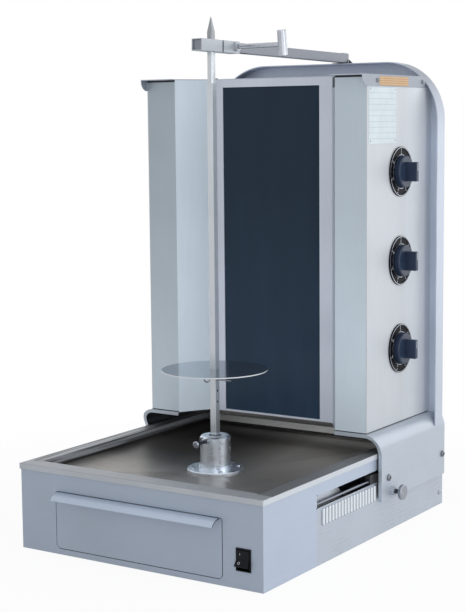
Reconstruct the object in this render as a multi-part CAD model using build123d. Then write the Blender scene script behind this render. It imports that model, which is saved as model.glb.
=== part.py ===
from build123d import *
import math
import os

# Table-top vertical broiler for doner kebab, in millimetres.
# +Z up, front is -Y, origin at the centre of the base's underside.

# base box
base_w = 500.0
base_d = 660.0
base_h = 152.0
sheet = 1.5
front_wrap = 170.0
slot_drop = 31.0
slot_h = 22.0
relief_r = 2.0
screw_r = 4.0
screw_h = 2.2

# drip pan let into the top of the base
pan_overhang = 2.0
pan_lip = 10.0
pan_side_rim = 24.0
pan_front_rim = 31.0
pan_rear_rim = 115.0
pan_depth = 18.0
pan_fall = 12.0
pan_seat = 116.0

# drawer in the front
drawer_margin = 77.0
drawer_bottom = 10.0
drawer_h = 102.0
drawer_gap = 1.2
drawer_corner = 5.0
lip_reach = 22.0
lip_drop = 11.0
tray_inset = 8.0
tray_depth = 150.0
tray_height = 72.0
tray_lift = 4.0
runner_w = 18.0
runner_t = 2.0
runner_h = 28.0

# rocker switch beside the drawer
switch_gap = 26.0
switch_z = 49.0
switch_w = 28.0
switch_h = 38.0
switch_rim = 2.5
switch_depth = 26.0
switch_edge = 1.0
rocker_w = 24.0
rocker_h = 33.0
rocker_pivot = 5.0
rocker_depth = 6.0
rocker_gap = 0.4
rocker_tilt = 15.0
rocker_face = 3.5
rocker_rise = 4.5

# louvres under the guide slots
louvre_count = 18
louvre_pitch = 10.8
louvre_r = 4.6
louvre_rise = 3.4
louvre_h = 30.0
louvre_drop = 3.0
louvre_start = 20.5

# back of the base
vent_count = 8
vent_pitch = 16.0
vent_w = 6.0
vent_h = 50.0
vent_z = 40.0
gland_inset = 70.0
gland_z = 40.0
gland_r = 9.0
gland_nut_r = 13.0
gland_nut_t = 8.0
gland_bore_r = 4.5
terminal_w = 60.0
terminal_d = 24.0
terminal_h = 22.0

# guide rods and what runs on them
rod_inset = 6.0
rod_rise = 5.0
rod_r = 3.0
rod_back_gap = 2.5
rod_end_gap = 4.0
bracket_w = 14.5
bracket_t = 8.0
bracket_h = 37.5
shield_length = 120.0
shield_inset = 10.5
shield_corner = 34.0
block_length = 65.0
block_w = 14.0
block_h = 16.0
running = 0.06
gap = 0.3

# rotating hub and the drive under it
spit_to_glass = 194.0
hub_r = 27.5
hub_h = 52.0
hub_chamfer = 3.0
hub_mouth_r = 12.0
hub_mouth_depth = 12.0
socket_floor = 6.0
flange_r = 51.5
flange_t = 4.0
flange_screw_r = 2.0
flange_screw_circle = 42.0
flange_screw_count = 4
step_r = 30.5
step_h = 7.0
shaft_r = 10.0
motor_gap = 6.0
motor_w = 110.0
motor_d = 86.0
gearbox_h = 22.0
motor_can_r = 30.0
motor_h = 52.0
foot_inset = 14.0
foot_w = 22.0
thumb_drop = 6.8
thumb_r = 2.5
thumb_reach = 36.0
thumb_head_r = 6.0
thumb_head_t = 5.0
thumb_nut_r = 4.8
thumb_nut_t = 4.0
grub_r = 5.5
grub_h = 3.0
grub_angle = 26.0

# spit, disc and clip
spit_side = 12.0
spit_neck_r = 6.9
spit_neck = 82.0
spit_over_head = 7.0
spit_point = 32.3
spit_hole_r = 2.0
spit_hole_pitch = 20.0
spit_holes = 3
clip_rise = 101.0
clip_wire_r = 1.5
clip_front = 11.0
clip_back = 34.0
clip_ring_r = 6.5
disc_r = 95.0
disc_t = 2.0
disc_collar_h = 15.0
disc_collar_wall = 3.0

# carriage that slides over the base
carriage_side_gap = 11.0
carriage_rear_gap = 15.0
carriage_length = 276.0
carriage_rise = 35.0
carriage_h = 123.0
carriage_radius = 27.0
carriage_sheet = 2.0
hem = 6.5
sweep = 14.0
sweep_top = 8.0
sweep_bottom = 37.0
beam_w = 60.0
beam_h = 16.0
bolt_r = 6.0
bolt_h = 4.0
bolt_drop = 3.0
bolt_front = 40.0
bolt_rear = 11.0
clamp_in = 54.0
clamp_up = 13.0
clamp_screw_r = 4.0
clamp_boss_r = 8.0
clamp_boss_h = 7.0
clamp_r = 14.0
clamp_t = 7.0
clamp_reach = 25.0

# tower on the carriage
tower_inset = 14.2
tower_setback = 3.0
tower_h = 634.5
tower_sheet = 1.5
column_w = 63.8
wing_run = 38.0
wing_depth = 58.0
glass_setback = 62.0
glass_margin = 29.0
glass_sill = 3.0
glass_header = 14.5
glass_t = 4.0
glass_seat = 9.0
frame_return = 12.0
cap_visor = 19.0
cap_lip = 21.0
cap_corner = 18.0

# heating zones behind the glass
zone_count = 3
heater_side_gap = 18.0
heater_depth = 50.0
heater_end = 10.0
heater_wall = 2.0
tube_r = 5.0
tube_setback = 16.0
tubes_per_zone = 5
board_t = 15.0

# controls on the right side
knob_in = 129.0
knob_up = 139.0
knob_pitch = 162.0
dial_r = 45.0
dial_t = 3.0
dial_bead = 3.0
skirt_r = 29.0
skirt_t = 10.0
grip_l = 35.0
grip_t = 10.0
grip_reach = 22.0
spindle_r = 3.0
bush_r = 5.0
regulator_side = 44.0
regulator_depth = 34.0
plate_t = 0.4
plate_w = 104.0
plate_gap = 7.0
plate_inset = 7.0
strip_inset = 44.0
strip_w = 112.0
strip_h = 16.5

# back cover
cover_overhang = 13.0
cover_left_inset = 10.0
cover_rise = 30.5
cover_radius = 108.0
cover_left_radius = 126.0
cover_rim = 28.0
cover_skirt = 22.0
cover_sheet = 2.0
cover_inset = 17.0

# top arm, laid out along its own length
pivot_x = 56.0
pivot_inset = 13.0
pin_r = 4.0
pin_gap = 0.35
arm_w = 20.0
arm_h = 17.0
arm_tilt = 1.8
arm_foot_t = 1.0
arm_foot_gap = 0.55
arm_slot_w = 16.0
arm_slot_front = 18.0
arm_slot_rear = 98.0
arm_tip = 34.0
arm_tail = 6.0
arm_tail_r = 5.0
nut_r = 7.0
nut_h = 1.5
gusset_w = 8.0
gusset_h = 7.0
sleeve_wall = 1.5
sleeve_gap = 0.35
head_front = 37.0
head_rear = 16.0
collar_front = 20.0
collar_rear = 62.0
tee_u = 53.0
tee_rise = 1.3
tee_ring_r = 8.0
tee_ring_t = 5.0
tee_rod_r = 4.2
tee_reach = 117.0
tee_grip_r = 8.0
tee_grip_h = 45.0
tee_grip_lift = 2.0
tee_lean = 8.0

# places that follow from the sizes above
side = base_w / 2
front = -base_d / 2
rear = base_d / 2
slot_top = base_h - slot_drop
slot_bottom = slot_top - slot_h
seam_y = front + front_wrap
rod_x = side - rod_inset
rod_z = slot_bottom + rod_rise
rod_start = seam_y - 2 * bracket_t - rod_end_gap
rod_end = rear - sheet - rod_back_gap
block_bottom = slot_bottom + gap

pan_x = side - pan_side_rim
pan_front = front + pan_front_rim
pan_rear = rear - pan_rear_rim
pan_floor = base_h - pan_depth
seat_z = pan_floor - pan_fall

drawer_w = base_w - 2 * drawer_margin
drawer_half = drawer_w / 2 - drawer_gap
drawer_top = drawer_bottom + drawer_h
tray_x = drawer_w / 2 - tray_inset
tray_z = drawer_bottom + tray_lift
switch_x = drawer_w / 2 + switch_gap + switch_w / 2
gland_x = gland_inset - side

carriage_x = side + carriage_side_gap
carriage_rear = rear - carriage_rear_gap
carriage_front = carriage_rear - carriage_length
carriage_top = base_h + carriage_rise
carriage_bottom = carriage_top - carriage_h
clamp_y = carriage_front + clamp_in
clamp_z = carriage_bottom + clamp_up

tower_x = side - tower_inset
tower_in = tower_x - tower_sheet
tower_front = carriage_front + tower_setback
tower_back = carriage_rear - cover_inset
tower_top = carriage_top + tower_h
corner_x = tower_x - column_w
wing_x = corner_x - wing_run
glass_y = tower_front + glass_setback
glass_bottom = carriage_top + glass_sill
glass_top = tower_top - glass_header
frame_back = glass_y + frame_return
cap_x = tower_x + tower_sheet
cap_top = tower_top + tower_sheet
cover_x = side + cover_overhang
cover_left = side - cover_left_inset
cover_top = tower_top + cover_rise
cover_front = tower_back - cover_rim

heater_x = wing_x - heater_side_gap
heater_z = carriage_top + carriage_sheet
heater_y = frame_back + tube_r
zone_h = (tower_top - heater_z - 3 * heater_end) / zone_count
knob_y = tower_front + knob_in
knob_z = carriage_top + knob_up
knob_face = tower_x + dial_t + gap

hub_y = glass_y - spit_to_glass
flange_top = seat_z + flange_t
step_top = flange_top + step_h
hub_bottom = step_top + gap
hub_top = hub_bottom + hub_h
spit_bottom = hub_bottom + socket_floor
gearbox_top = seat_z - sheet - motor_gap
gearbox_bottom = gearbox_top - gearbox_h
thumb_z = hub_top - thumb_drop
clip_z = hub_top + clip_rise

pivot_y = tower_back - pivot_inset
arm_z = cover_top + arm_foot_t + arm_foot_gap + arm_h / 2
arm_run = math.hypot(pivot_x, pivot_y - hub_y)
arm_yaw = math.degrees(math.atan2(pivot_x, pivot_y - hub_y))
sleeve_in_x = arm_w / 2 + sleeve_gap
sleeve_in_z = arm_h / 2 + sleeve_gap
head_x = sleeve_in_x + sleeve_wall
head_z = sleeve_in_z + sleeve_wall
neck_top = arm_z + arm_run * math.sin(math.radians(arm_tilt)) + head_z + spit_over_head
spit_top = neck_top + spit_point


def block(x, y, z):
    """Box between (low, high) pairs."""
    size = [high - low for low, high in (x, y, z)]
    middle = [(high + low) / 2 for low, high in (x, y, z)]
    return Pos(*middle) * Box(*size)


def rod(r, start, end):
    """Round bar from one point to another."""
    axis = Vector(*end) - Vector(*start)
    return extrude(Plane(origin=start, z_dir=axis) * Circle(r), axis.length)


def both_sides(piece):
    return piece + mirror(piece, about=Plane.YZ)


def left(piece):
    return mirror(piece, about=Plane.YZ)


def group(pieces):
    return Compound(children=list(pieces))


def screw_head(r, height, centre, direction):
    """Domed screw head seated on a face."""
    head = extrude(Circle(r), height)
    head = fillet(head.edges().sort_by(Axis.Z)[-1], height * 0.6)
    return Plane(origin=centre, z_dir=direction) * head


def base_plate():
    inner = side - sheet
    return block((-inner, inner), (front + sheet, rear - sheet), (0, sheet))


def drawer_outline(grow):
    """Front view of the drawer, with round upper and cut lower corners."""
    half = drawer_half + grow
    face = block((-half, half), (-1, 1), (drawer_bottom + drawer_gap - grow, drawer_top - drawer_gap + grow))
    rows = face.edges().filter_by(Axis.Y).group_by(Axis.Z)
    face = fillet(rows[-1], drawer_corner + grow)
    lower = face.edges().filter_by(Axis.Y).group_by(Axis.Z)[0]
    return chamfer(lower, drawer_corner + grow)


def front_shell():
    """Front panel, its wrapped sides and the bands above the guide slots."""
    top = base_h - sheet
    shell = block((-side, side), (front, rear - sheet), (0, top))
    shell -= block((-side + sheet, side - sheet), (front + sheet, rear), (-1, top + 1))
    shell -= block((-side - 1, side + 1), (seam_y, rear), (-1, slot_top))
    for z in (0, slot_bottom, slot_top):
        shell -= rod(relief_r, (-side - 1, seam_y, z), (side + 1, seam_y, z))
    shell -= Pos(0, front, 0) * scale(drawer_outline(drawer_gap), by=(1, 3 * sheet, 1))
    return shell - block(
        (switch_x - switch_w / 2 + switch_edge, switch_x + switch_w / 2 - switch_edge),
        (front - 1, front + 2 * sheet),
        (switch_z - switch_h / 2 + switch_edge, switch_z + switch_h / 2 - switch_edge),
    )


def side_cover():
    """Right side cover with pressed louvres under the slot."""
    cover = block((side - sheet, side), (seam_y, rear - sheet), (0, slot_bottom))
    cover -= rod(relief_r, (side - 2 * sheet, seam_y, 0), (side + 1, seam_y, 0))
    axis_x = side + louvre_rise - louvre_r
    high = slot_bottom - louvre_drop
    for i in range(louvre_count):
        y = seam_y + louvre_start + i * louvre_pitch
        rib = rod(louvre_r, (axis_x, y, high - louvre_h), (axis_x, y, high))
        rib = chamfer(rib.edges(), louvre_rise * 0.7)
        cover += rib & block((side - sheet, side + louvre_r), (y - louvre_r, y + louvre_r), (0, high))
    return cover


def rear_panel():
    panel = block((-side, side), (rear - sheet, rear), (0, base_h - sheet))
    first = -(vent_count - 1) * vent_pitch / 2
    for i in range(vent_count):
        x = first + i * vent_pitch
        panel -= block((x - vent_w / 2, x + vent_w / 2), (rear - 5, rear + 5), (vent_z, vent_z + vent_h))
    return panel - rod(gland_r, (gland_x, rear - 5, gland_z), (gland_x, rear + 5, gland_z))


def funnel(half_w, y_low, y_high, z):
    """Shallow funnel from the pan's walls down to the hub's seat."""
    wide = Plane(origin=(0, (y_low + y_high) / 2, z)) * Rectangle(2 * half_w, y_high - y_low)
    seat = Plane(origin=(0, hub_y, z - pan_fall)) * Rectangle(pan_seat, pan_seat)
    return loft([seat, wide], ruled=True)


def drip_pan():
    """Rim, well and sloping floor, pressed as one sheet."""
    x = side + pan_overhang
    y = rear + pan_overhang
    pan = block((-x, x), (-y, y), (base_h - pan_lip, base_h))
    pan -= block((-x + sheet, x - sheet), (-y + sheet, y - sheet), (0, base_h - sheet))
    outer = pan_x + sheet
    pan += block((-outer, outer), (pan_front - sheet, pan_rear + sheet), (pan_floor - sheet, base_h))
    pan += funnel(outer, pan_front - sheet, pan_rear + sheet, pan_floor - sheet)
    pan -= block((-pan_x, pan_x), (pan_front, pan_rear), (pan_floor, base_h + 1))
    pan -= funnel(pan_x, pan_front, pan_rear, pan_floor)
    pan -= rod(shaft_r + 2 * sheet, (0, hub_y, 0), (0, hub_y, base_h))
    for x, y in flange_holes():
        pan -= rod(flange_screw_r, (x, y, 0), (x, y, base_h))
    return pan


def flange_holes():
    for i in range(flange_screw_count):
        angle = math.radians(45 + 360 * i / flange_screw_count)
        yield flange_screw_circle * math.cos(angle), hub_y + flange_screw_circle * math.sin(angle)


def hub_flange():
    """Bearing plate screwed to the pan round the drive shaft."""
    plate = rod(flange_r, (0, hub_y, seat_z), (0, hub_y, flange_top))
    plate = chamfer(plate.edges().sort_by(Axis.Z)[-1], flange_t / 4)
    plate += rod(step_r, (0, hub_y, flange_top), (0, hub_y, step_top))
    plate -= rod(shaft_r + running, (0, hub_y, 0), (0, hub_y, base_h))
    for x, y in flange_holes():
        plate -= rod(flange_screw_r, (x, y, 0), (x, y, base_h))
    return plate


def flange_screws():
    screws = []
    for x, y in flange_holes():
        head = screw_head(screw_r, screw_h, (x, y, flange_top), (0, 0, 1))
        screws.append(head + rod(flange_screw_r, (x, y, gearbox_top + 1), (x, y, flange_top)))
    return group(screws)


def gear_motor():
    """Gearbox round the drive shaft with the motor beneath it."""
    body = block(
        (-motor_w / 2, motor_w / 2), (hub_y - motor_d / 2, hub_y + motor_d / 2), (gearbox_bottom, gearbox_top)
    )
    can_y = hub_y + motor_d / 2 - motor_can_r
    body += rod(motor_can_r, (0, can_y, gearbox_bottom - motor_h), (0, can_y, gearbox_bottom))
    return body - rod(shaft_r + running, (0, hub_y, gearbox_bottom + 4), (0, hub_y, base_h))


def motor_bracket():
    """Two channels that carry the gearbox from the base plate."""
    y = (hub_y - motor_d / 2, hub_y + motor_d / 2)
    x = motor_w / 2 - foot_inset
    leg = block((x, x + sheet), y, (sheet, gearbox_bottom))
    leg += block((x, x + foot_w), y, (gearbox_bottom - sheet, gearbox_bottom))
    leg += block((x, x + foot_w), y, (sheet, 2 * sheet))
    return both_sides(leg)


def drive_shaft():
    return rod(shaft_r, (0, hub_y, gearbox_bottom + 6), (0, hub_y, hub_bottom))


def grub_frame():
    """Plane on the hub's side where the grub screw sits."""
    turn = math.radians(-90 - grub_angle)
    out = Vector(math.cos(turn), math.sin(turn), 0)
    flat = hub_r - 0.5
    return Plane(origin=Vector(0, hub_y, thumb_z) + out * flat, z_dir=out)


def hub():
    """Turning socket that holds the spit's foot."""
    body = rod(hub_r, (0, hub_y, hub_bottom), (0, hub_y, hub_top))
    body = chamfer(body.edges().group_by(Axis.Z)[-1], hub_chamfer)
    half = spit_side / 2 + gap
    body -= block((-half, half), (hub_y - half, hub_y + half), (spit_bottom - gap, hub_top + 1))
    body -= rod(hub_mouth_r, (0, hub_y, hub_top - hub_mouth_depth), (0, hub_y, hub_top + 1))
    body -= grub_frame() * extrude(Circle(grub_r), 2 * grub_h)
    return body - rod(thumb_r + running, (0, hub_y - hub_r - 1, thumb_z), (0, hub_y, thumb_z))


def hub_grub_screw():
    """Socket screw that fixes the hub on its shaft."""
    screw = extrude(Circle(grub_r), grub_h)
    screw = chamfer(screw.edges().sort_by(Axis.Z)[-1], 0.5)
    screw -= Pos(0, 0, grub_h / 2) * extrude(RegularPolygon(grub_r * 0.45, 6), grub_h)
    return grub_frame() * screw


def hub_thumb_screw():
    """Screw with a round head and a lock nut that holds the spit."""
    tip = hub_y - spit_side / 2 - 2 * gap
    nut = hub_y - hub_r - gap
    end = hub_y - hub_r - thumb_reach
    screw = rod(thumb_r, (0, end + 1, thumb_z), (0, tip, thumb_z))
    screw += rod(thumb_nut_r, (0, nut - thumb_nut_t, thumb_z), (0, nut, thumb_z))
    head = rod(thumb_head_r, (0, end, thumb_z), (0, end + thumb_head_t, thumb_z))
    return screw + fillet(head.edges(), 1.5)


def spit():
    """Square bar with turned corners at the top and a ground point."""
    start = spit_bottom
    half = spit_side / 2
    neck_bottom = neck_top - spit_neck
    lower = block((-half, half), (-half, half), (start, neck_bottom))
    neck = block((-half, half), (-half, half), (neck_bottom, neck_top))
    base = Plane(origin=(0, 0, neck_top)) * Rectangle(spit_side, spit_side)
    tip = Plane(origin=(0, 0, spit_top)) * Rectangle(0.8, 0.8)
    upper = (neck + loft([base, tip], ruled=True)) & rod(spit_neck_r, (0, 0, neck_bottom), (0, 0, spit_top))
    bar = lower + upper
    for i in range(spit_holes):
        z = clip_z - i * spit_hole_pitch
        bar -= rod(spit_hole_r, (-spit_side, 0, z), (spit_side, 0, z))
    return Pos(0, hub_y, 0) * bar


def kebab_disc():
    """Round plate on a square collar that rests on the clip."""
    low = clip_z + clip_wire_r
    top = low + disc_collar_h
    clear = spit_side / 2 + gap
    half = clear + disc_collar_wall
    disc = block((-half, half), (-half, half), (low, top))
    disc += rod(disc_r, (0, 0, top), (0, 0, top + disc_t))
    disc -= block((-clear, clear), (-clear, clear), (low - 1, top + disc_t + 1))
    return Pos(0, hub_y, 0) * disc


def disc_clip():
    """Wire pin through the spit with a ring to pull it by."""
    pin = rod(clip_wire_r, (-clip_front, 0, 0), (clip_back, 0, 0))
    ring = Pos(-clip_front - clip_ring_r, 0, 0) * Rot(X=90) * Torus(clip_ring_r, clip_wire_r)
    return Pos(0, hub_y, clip_z) * (pin + ring)


def drawer_front():
    """Flush front with a curved lip to pull it by."""
    plate = scale(drawer_outline(0), by=(1, sheet / 2, 1))
    plate = Pos(0, front + sheet / 2, 0) * plate
    top = drawer_top - drawer_gap
    start = (front, top)
    bulge = (front - lip_reach * 0.62, top - lip_drop * 0.24)
    end = (front - lip_reach, top - lip_drop)
    under = (bulge[0] + sheet * 0.35, bulge[1] - sheet * 0.95)
    outline = ThreePointArc(start, bulge, end) + Line(end, (end[0] + sheet, end[1]))
    outline += ThreePointArc((end[0] + sheet, end[1]), under, (front, top - sheet))
    outline += Line((front, top - sheet), start)
    half = drawer_half - drawer_corner
    lip = extrude(Plane.YZ * make_face(outline), half, both=True)
    return plate + lip


def drawer_tray():
    """Open box that catches the drips."""
    y = (front + sheet, front + sheet + tray_depth)
    z = (tray_z, tray_z + tray_height)
    tray = block((-tray_x, tray_x), y, z)
    return tray - block(
        (-tray_x + sheet, tray_x - sheet), (y[0] + sheet, y[1] - sheet), (z[0] + sheet, z[1] + 1)
    )


def drawer_runners():
    """Angles on the base plate that the tray slides on."""
    y = (front + sheet, front + sheet + tray_depth)
    outer = tray_x + gap + 2 * runner_t
    shelf = block((outer - runner_w, outer), y, (tray_z - gap - runner_t, tray_z - gap))
    post = block((outer - runner_t, outer), y, (sheet, sheet + runner_h))
    return both_sides(shelf + post)


def guide_rods():
    return both_sides(rod(rod_r, (rod_x, rod_start, rod_z), (rod_x, rod_end, rod_z)))


def rod_brackets():
    """Blocks on the base's inner sides that hold the rod ends."""
    brackets = []
    z = (rod_z - 2 * rod_r, rod_z - 2 * rod_r + bracket_h)
    for y in (rod_start, rod_end - bracket_t):
        piece = block((side - sheet - bracket_w, side - sheet), (y, y + bracket_t), z)
        brackets.append(piece - rod(rod_r, (rod_x, y - 1, rod_z), (rod_x, y + bracket_t + 1, rod_z)))
    return both_sides(group(brackets))


def slot_shields():
    """Bright plates behind the front part of the slots."""
    y = rod_start + bracket_t
    x = side - shield_inset
    plate = block((x - sheet, x), (y, y + shield_length), (slot_bottom - rod_r, slot_top + pan_lip))
    corner = plate.edges().filter_by(Axis.X).sort_by(lambda e: e.center().Y + e.center().Z)[-1]
    return both_sides(chamfer(corner, min(shield_corner, slot_h + pan_lip)))


def switch_housing():
    """Frame and body of the rocker switch."""
    x = switch_w / 2
    z = switch_h / 2
    rim = block((-x, x), (-switch_rim, 0), (-z, z))
    rim = chamfer(rim.faces().sort_by(Axis.Y)[0].edges(), 0.8)
    body = block((-x + switch_edge, x - switch_edge), (0, switch_depth), (-z + switch_edge, z - switch_edge))
    half_w = rocker_w / 2 + rocker_gap
    half_h = rocker_h / 2 + rocker_gap
    well = block((-half_w, half_w), (-switch_rim - 1, rocker_pivot + rocker_depth), (-half_h, half_h))
    return Pos(switch_x, front, switch_z) * (rim + body - well)


def rocker():
    """Paddle with two faces, its lower end pressed out."""
    face = -rocker_pivot - rocker_face
    end = face - rocker_rise
    tall = rocker_h / 2 - 2 * gap
    points = [(face, 0), (end, tall - switch_rim), (1, tall - switch_rim / 2), (rocker_depth - 2, 0),
              (1, switch_rim / 2 - tall), (end, switch_rim - tall)]
    section = Plane.YZ * make_face(Polyline(*points, close=True))
    paddle = extrude(section, rocker_w / 2, both=True)
    paddle = fillet(paddle.edges().filter_by(Axis.X), 0.6)
    return Pos(switch_x, front + rocker_pivot, switch_z) * Rot(X=-rocker_tilt) * paddle


def cable_gland():
    """Threaded inlet for the mains cable."""
    gland = rod(gland_nut_r, (gland_x, rear, gland_z), (gland_x, rear + gland_nut_t, gland_z))
    gland += rod(gland_r, (gland_x, rear - sheet, gland_z), (gland_x, rear, gland_z))
    inner = rear - sheet
    gland += rod(gland_nut_r, (gland_x, inner - gland_nut_t, gland_z), (gland_x, inner, gland_z))
    return gland - rod(gland_bore_r, (gland_x, rear - 20, gland_z), (gland_x, rear + 20, gland_z))


def terminal_block():
    y = rear - gland_inset
    x = (gland_x - terminal_w / 2, gland_x + terminal_w / 2)
    body = block(x, (y - terminal_d / 2, y + terminal_d / 2), (sheet, sheet + terminal_h))
    for i in range(5):
        px = x[0] + (i + 0.5) * terminal_w / 5
        body -= rod(terminal_w / 30, (px, y, terminal_h / 2), (px, y, 2 * terminal_h))
    return body


def base_screws():
    """Screws of the side covers."""
    return both_sides(screw_head(screw_r, screw_h, (side, rear - 14, 6 * screw_r), (1, 0, 0)))


def carriage_side():
    """Right foot of the tower, bent down over the base."""

    def profile(inset, y, below):
        shoe = block((corner_x - below, carriage_x - inset), y, (carriage_bottom - below, carriage_top - inset))
        corner = shoe.edges().filter_by(Axis.Y).sort_by(lambda e: e.center().X + e.center().Z)[-1]
        return fillet(corner, carriage_radius - inset)

    def behind(edge):
        """Everything behind the front edge, which sweeps back below the top."""
        line = [(edge, carriage_top), (edge, carriage_top - sweep_top), (edge + sweep, carriage_top - sweep_bottom),
                (edge + sweep, carriage_bottom), (carriage_rear, carriage_bottom), (carriage_rear, carriage_top)]
        return Pos(corner_x, 0, 0) * extrude(Plane.YZ * make_face(Polyline(*line, close=True)), carriage_x)

    y = (carriage_front - 1, carriage_rear + 1)
    foot = (profile(0, y, 0) - profile(carriage_sheet, y, 1)) & behind(carriage_front)
    foot += (profile(0, y, 0) - profile(hem, y, 1)) & (behind(carriage_front) - behind(carriage_front + carriage_sheet))
    face = carriage_x + clamp_boss_h
    foot += rod(clamp_boss_r, (carriage_x, clamp_y, clamp_z), (face, clamp_y, clamp_z))
    return foot - rod(clamp_screw_r + running, (side, clamp_y, clamp_z), (face + 1, clamp_y, clamp_z))


def carriage_beam():
    """Channel that ties the two carriage sides together."""
    half = carriage_x - carriage_radius - carriage_sheet
    y = (tower_back - beam_w - sheet, tower_back - sheet)
    top = carriage_top - carriage_sheet
    beam = block((-half, half), y, (top - beam_h, top))
    return beam - block((-half - 1, half + 1), (y[0] + sheet, y[1] - sheet), (0, top - sheet))


def slide_blocks():
    """Bearing blocks that run on the guide rods."""
    z = (block_bottom, block_bottom + block_h)
    inner = rod_x - block_w / 2
    bore = rod(rod_r + running, (rod_x, carriage_front - 90, rod_z), (rod_x, rear, rod_z))
    blocks = []
    first = carriage_front + sweep + carriage_sheet + gap
    for y in (first, carriage_rear - block_length):
        blocks.append(block((inner, carriage_x - carriage_sheet), (y, y + block_length), z) - bore)
    nose_y = (carriage_front - hem, first)
    nose = block((inner, side - sheet), nose_y, z) - bore
    return both_sides(group([blocks[0] + nose, blocks[1]]))


def carriage_bolts():
    """Screws through the carriage sides into the slide blocks."""
    z = block_bottom + block_h / 2 - bolt_drop
    bolts = []
    for y in (carriage_front + bolt_front, carriage_rear - bolt_rear):
        bolts.append(screw_head(bolt_r, bolt_h, (carriage_x, y, z), (1, 0, 0)))
    return both_sides(group(bolts))


def clamp_knob():
    """Screw with a flat round head that clamps the carriage."""
    tip = side + louvre_rise + hem / 3
    end = carriage_x + clamp_reach
    screw = rod(clamp_screw_r, (tip, clamp_y, clamp_z), (end - 1, clamp_y, clamp_z))
    head = rod(clamp_r, (end - clamp_t, clamp_y, clamp_z), (end, clamp_y, clamp_z))
    return screw + fillet(head.edges(), clamp_t / 4)


def tower_floor():
    x = tower_in
    return block((-x, x), (frame_back, tower_back), (carriage_top, carriage_top + carriage_sheet))


def column_shell():
    """Front face and splayed wing of the right column."""
    line = Polyline(
        (tower_in, tower_front), (corner_x, tower_front), (wing_x, tower_front + wing_depth), (wing_x, frame_back)
    )
    wall = offset(line, tower_sheet, side=Side.RIGHT, kind=Kind.INTERSECTION)
    return Pos(0, 0, carriage_top) * extrude(make_face(wall), tower_h)


def rim_room():
    """Space behind the cover's rim that the tower has to leave free."""
    wide = block((-2 * cover_x, 2 * cover_x), (cover_front - gap, tower_back + 1), (carriage_top, 2 * cover_top))
    return wide - cover_outline(cover_sheet + gap, (0, rear))


def side_panel():
    """Flat right side of the tower."""
    return block((tower_in, tower_x), (tower_front, tower_back), (carriage_top, tower_top))


def control_panel():
    """Right side with holes for the three spindles."""
    panel = side_panel() - rim_room()
    for z in knob_heights():
        panel -= rod(bush_r, (side / 2, knob_y, z), (2 * side, knob_y, z))
    return panel


def knob_heights():
    return [knob_z + i * knob_pitch for i in range(zone_count)]


def top_cap():
    """Roof with side lips and two short visors over the columns."""
    visor = tower_front - cap_visor
    half = [(0, tower_back), (cap_x, tower_back), (cap_x, visor), (corner_x, visor),
            (corner_x, tower_front), (wing_x, glass_y), (0, glass_y)]
    roof = Pos(0, 0, tower_top) * extrude(make_face(Polyline(*half, close=True)), tower_sheet)
    lip = block((tower_x, cap_x), (visor, tower_back), (cap_top - cap_lip, tower_top))
    edge = lip.edges().filter_by(Axis.X).sort_by(lambda e: e.center().Y + e.center().Z)[0]
    lip = fillet(edge, min(cap_corner, cap_lip - 2 * tower_sheet))
    return both_sides(roof + lip) - rim_room()


def cap_screws():
    screws = []
    for sign in (-1, 1):
        for x, y in ((wing_x - 6, frame_back), (tower_x - 40, cover_front - 12)):
            screws.append(screw_head(screw_r, screw_h, (sign * x, y, cap_top), (0, 0, 1)))
        for y in (tower_front + 36, cover_front - 13):
            screws.append(screw_head(screw_r, screw_h, (sign * cap_x, y, cap_top - cap_lip / 2), (sign, 0, 0)))
    return group(screws)


def glass_frame():
    """Pressed frame with returns at its sides and a narrow sill."""
    low = carriage_top - tower_sheet / 2
    half = wing_x - glass_margin
    frame = block((-wing_x, wing_x), (glass_y, frame_back), (low, tower_top))
    frame -= block((-wing_x + tower_sheet, wing_x - tower_sheet), (glass_y + tower_sheet, rear),
                   (low - 1, tower_top - tower_sheet))
    return frame - block((-half, half), (glass_y - 1, glass_y + 2 * tower_sheet), (glass_bottom, glass_top))


def heater_glass():
    """Ceramic glass sheet behind the frame."""
    half = wing_x - glass_margin + glass_seat
    y = glass_y + tower_sheet
    return block((-half, half), (y, y + glass_t), (carriage_top, glass_top + glass_seat))


def zone_room(i, depth):
    low = heater_z + heater_end + i * zone_h + heater_wall / 2
    x = heater_x - heater_wall
    back = heater_y + heater_depth - heater_wall
    return block((-x, x), (back - depth, back), (low, low + zone_h - heater_wall))


def heater_tray():
    """Insulated tray with a compartment for each zone."""
    high = heater_z + 2 * heater_end + zone_count * zone_h
    tray = block((-heater_x, heater_x), (heater_y, heater_y + heater_depth), (heater_z, high))
    for i in range(zone_count):
        tray -= zone_room(i, 2 * heater_depth)
    return tray


def insulation_boards():
    return group([zone_room(i, board_t) for i in range(zone_count)])


def heating_elements():
    """Upright quartz tubes, one row for each zone."""
    y = heater_y + tube_setback
    pitch = 2 * heater_x / (tubes_per_zone + 1)
    tubes = []
    for zone in range(zone_count):
        low = heater_z + heater_end + zone * zone_h + heater_wall / 2
        for i in range(tubes_per_zone):
            x = (i + 1) * pitch - heater_x
            tubes.append(rod(tube_r, (x, y, low), (x, y, low + zone_h - heater_wall)))
    return group(tubes)


def regulators():
    """Energy regulators behind the control panel."""
    half = regulator_side / 2
    bodies = []
    for z in knob_heights():
        body = block((tower_in - regulator_depth, tower_in), (knob_y - half, knob_y + half), (z - half, z + half))
        body += rod(bush_r, (tower_in, knob_y, z), (tower_x + dial_t, knob_y, z))
        bodies.append(body - rod(spindle_r + running, (tower_in - 12, knob_y, z), (side, knob_y, z)))
    return group(bodies)


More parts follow.
